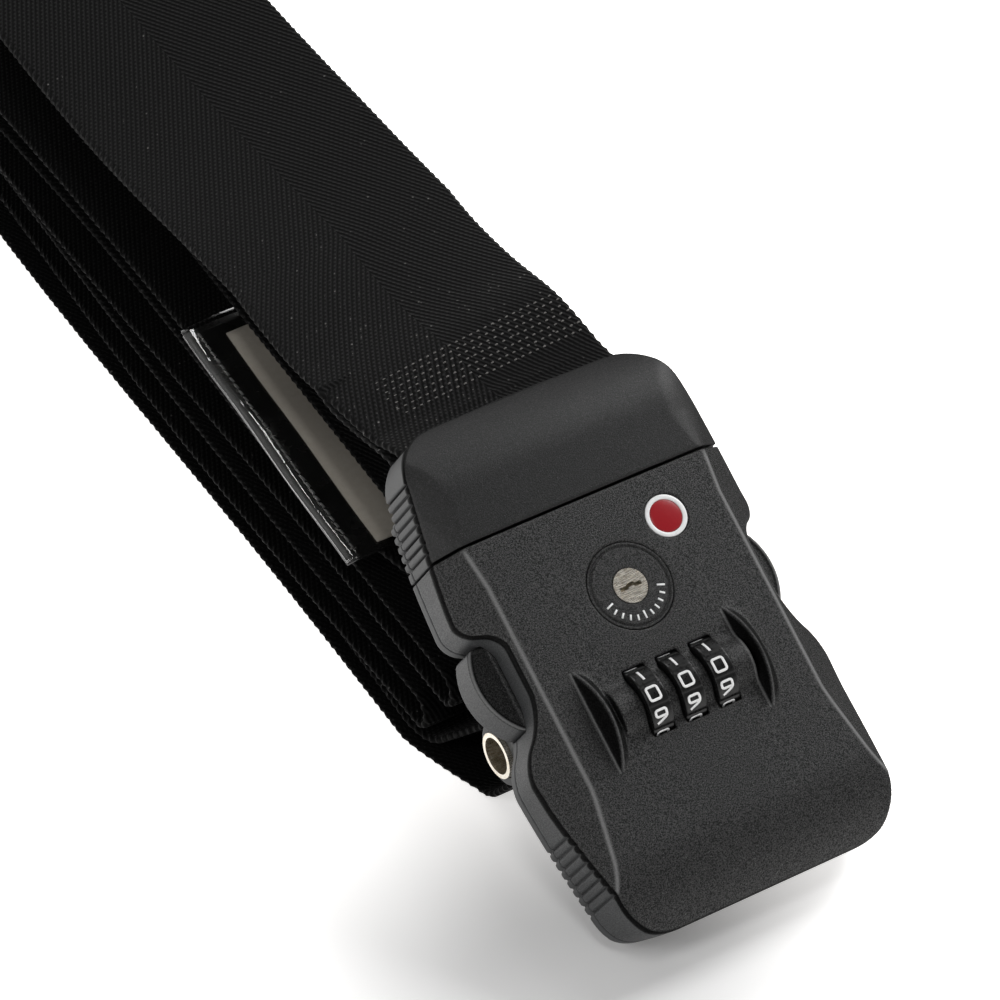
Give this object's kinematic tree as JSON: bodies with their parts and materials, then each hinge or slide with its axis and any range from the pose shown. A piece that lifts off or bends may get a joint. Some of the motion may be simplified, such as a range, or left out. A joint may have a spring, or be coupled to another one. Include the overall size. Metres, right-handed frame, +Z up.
{
  "type": "luggage strap with combination lock buckle",
  "caption": "Folded luggage strap of black webbing with a side-release buckle that holds a combination lock with number wheels and a service key plug.",
  "frame": {"origin": "middle of the flat underside of the folded webbing, on the table", "axes": "+Z up, +Y along the webbing away from the buckle tip, +X across the webbing"},
  "size_m": [0.0736, 0.3378, 0.0697],
  "materials": {
    "textured_black": "fine spark texture",
    "satin_black": "satin",
    "gloss_black": "gloss",
    "webbing": "twill webbing",
    "thread": "thread",
    "nickel": "nickel plate",
    "brass": "satin",
    "screw_steel": "satin",
    "red_enamel": "gloss",
    "card": "matt card",
    "clear_vinyl": "clear vinyl"
  },
  "bodies": {
    "receiver": {"receiver_top_shell": "textured_black", "receiver_grip_right": "satin_black", "receiver_grip_left": "satin_black", "receiver_bottom_cover": "satin_black", "screw_bosses": "satin_black", "receiver_screws": "screw_steel", "spring_seats": "satin_black", "dial_shaft": "screw_steel", "detent_spring": "screw_steel", "key_housing": "textured_black", "slider_spring": "screw_steel", "badge_inlay": "red_enamel", "webbing_bundle": "webbing", "webbing_roller_end": "webbing", "id_backing": "webbing", "id_card": "card", "id_window": "clear_vinyl"},
    "plug": {"plug_top_shell": "textured_black", "plug_grip_right": "satin_black", "plug_grip_left": "satin_black", "plug_bottom_cover": "satin_black", "plug_tongue": "satin_black", "plug_screws": "screw_steel", "webbing_bar": "screw_steel", "webbing_plug_end": "webbing", "end_stitches": "thread"},
    "button_right": {"release_button_right": "satin_black", "button_spring_right": "screw_steel"},
    "button_left": {"release_button_left": "satin_black", "button_spring_left": "screw_steel"},
    "dial_1": {"dial_wheel_1": "gloss_black", "dial_sleeve_1": "brass"},
    "dial_2": {"dial_wheel_2": "gloss_black", "dial_sleeve_2": "brass"},
    "dial_3": {"dial_wheel_3": "gloss_black", "dial_sleeve_3": "brass"},
    "key": {"key_plug": "nickel", "key_cam": "screw_steel"},
    "slider": {"lock_slider": "screw_steel"},
    "reset": {"reset_button": "satin_black"},
    "roller": {"webbing_roller": "nickel"}
  },
  "joints": [
    {"name": "plug_slide", "type": "slide", "parent": "receiver", "child": "plug", "axis": [0, 0.829, 0.5592], "range_m": [0, 0.03]},
    {"name": "button_right_press", "type": "slide", "parent": "receiver", "child": "button_right", "axis": [-1, 0, 0], "range_m": [0, 0.0025], "stiffness_N_per_m": 200, "springref_m": -0.001},
    {"name": "button_left_press", "type": "slide", "parent": "receiver", "child": "button_left", "axis": [1, 0, 0], "range_m": [0, 0.0025], "stiffness_N_per_m": 200, "springref_m": -0.001},
    {"name": "dial_1_spin", "type": "hinge", "parent": "receiver", "child": "dial_1", "pos_m": [0, -0.1652, 0.03466], "axis": [1, 0, 0], "continuous": true},
    {"name": "dial_2_spin", "type": "hinge", "parent": "receiver", "child": "dial_2", "pos_m": [0, -0.1652, 0.03466], "axis": [1, 0, 0], "continuous": true},
    {"name": "dial_3_spin", "type": "hinge", "parent": "receiver", "child": "dial_3", "pos_m": [0, -0.1652, 0.03466], "axis": [1, 0, 0], "continuous": true},
    {"name": "key_turn", "type": "hinge", "parent": "receiver", "child": "key", "pos_m": [0, -0.15, 0.0495], "axis": [0, -0.5592, 0.829], "range_deg": [0, 90]},
    {"name": "lock_slide", "type": "slide", "parent": "receiver", "child": "slider", "axis": [0, 0.829, 0.5592], "range_m": [0, 0.00424]},
    {"name": "reset_press", "type": "slide", "parent": "receiver", "child": "reset", "axis": [0, -0.5592, 0.829], "range_m": [0, 0.0015], "stiffness_N_per_m": 20, "springref_m": -0.0005},
    {"name": "roller_spin", "type": "hinge", "parent": "receiver", "child": "roller", "pos_m": [0, -0.14876, 0.0203], "axis": [1, 0, 0], "continuous": true}
  ],
  "couplings": [
    {"joint": "key_turn", "follows": "lock_slide", "rad_per_m": 370.24}
  ]
}
